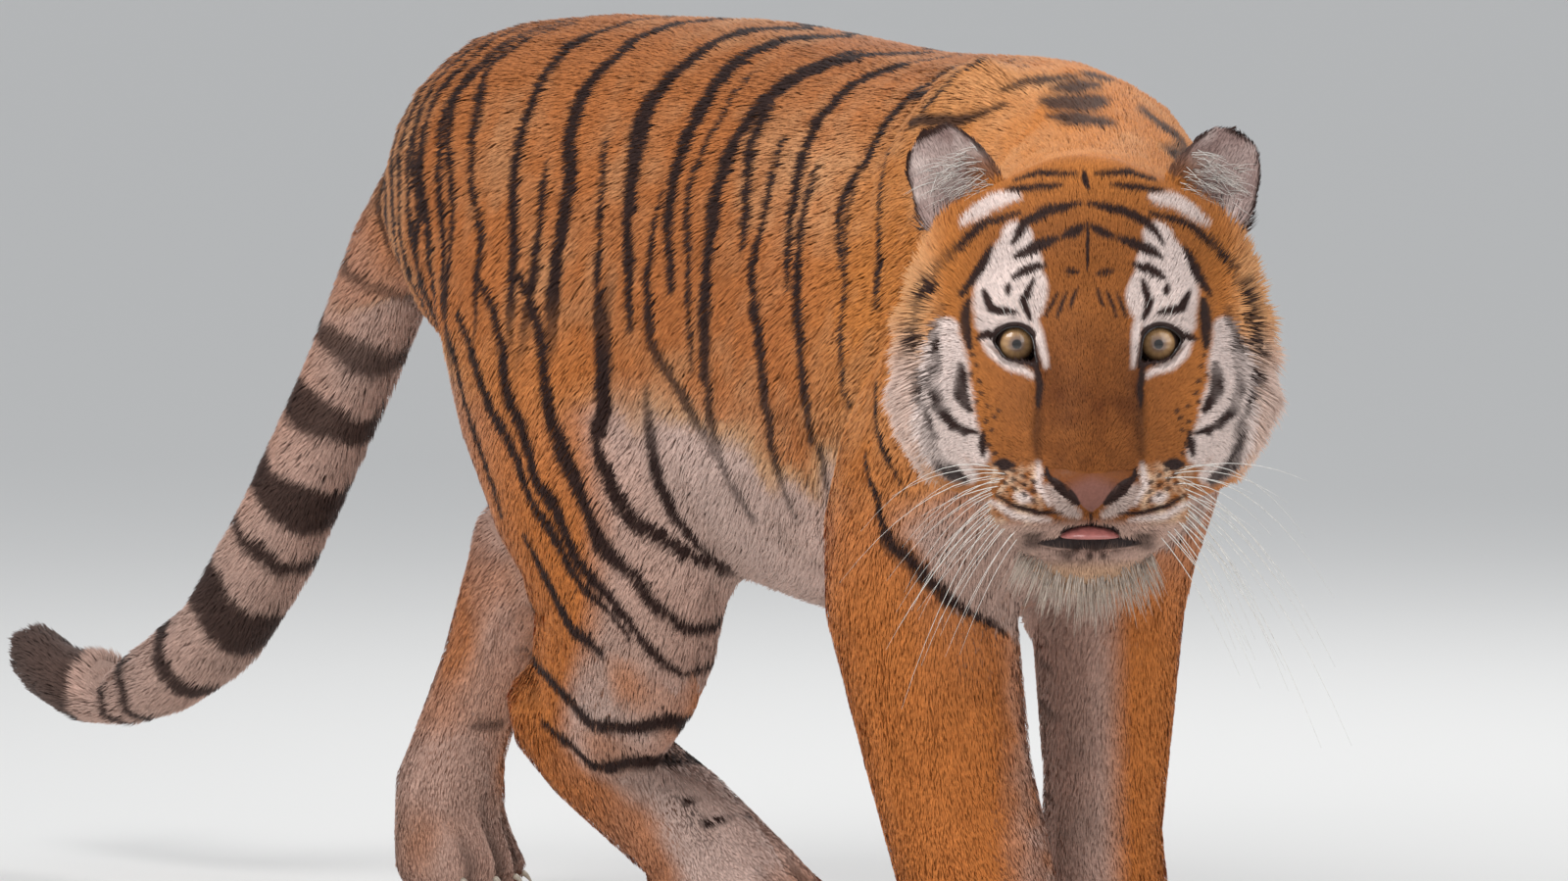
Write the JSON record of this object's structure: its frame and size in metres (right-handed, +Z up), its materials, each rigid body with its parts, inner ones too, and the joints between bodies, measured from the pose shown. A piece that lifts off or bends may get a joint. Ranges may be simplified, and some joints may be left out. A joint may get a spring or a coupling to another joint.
{
  "type": "tiger, life-size still model",
  "caption": "Life-size still model of a walking Amur tiger, head lowered and turned to look past its right shoulder, tail hanging in a low curve.",
  "frame": {"origin": "middle of the model's footprint box, on the floor under the paws", "axes": "+X the way the tiger walks, +Y its left side, +Z up"},
  "size_m": [2.4754, 0.6964, 0.9252],
  "materials": {
    "coat": "orange fur with black stripes and white underparts",
    "eye": "wet gloss, amber iris with a round black pupil",
    "tongue": "moist pink"
  },
  "bodies": {
    "root": {"trunk": "coat", "head": "coat", "neck": "coat", "ear_left": "coat", "ear_right": "coat", "eye_left": "eye", "eye_right": "eye", "tongue": "tongue", "tail_base": "coat", "tail_middle": "coat", "tail_tip": "coat", "paw_front_right": "coat", "paw_front_left": "coat", "paw_hind_right": "coat", "paw_hind_left": "coat", "shank_right": "coat", "shank_left": "coat", "foreleg_right": "coat", "foreleg_left": "coat", "thigh_right": "coat", "thigh_left": "coat"}
  },
  "joints": []
}
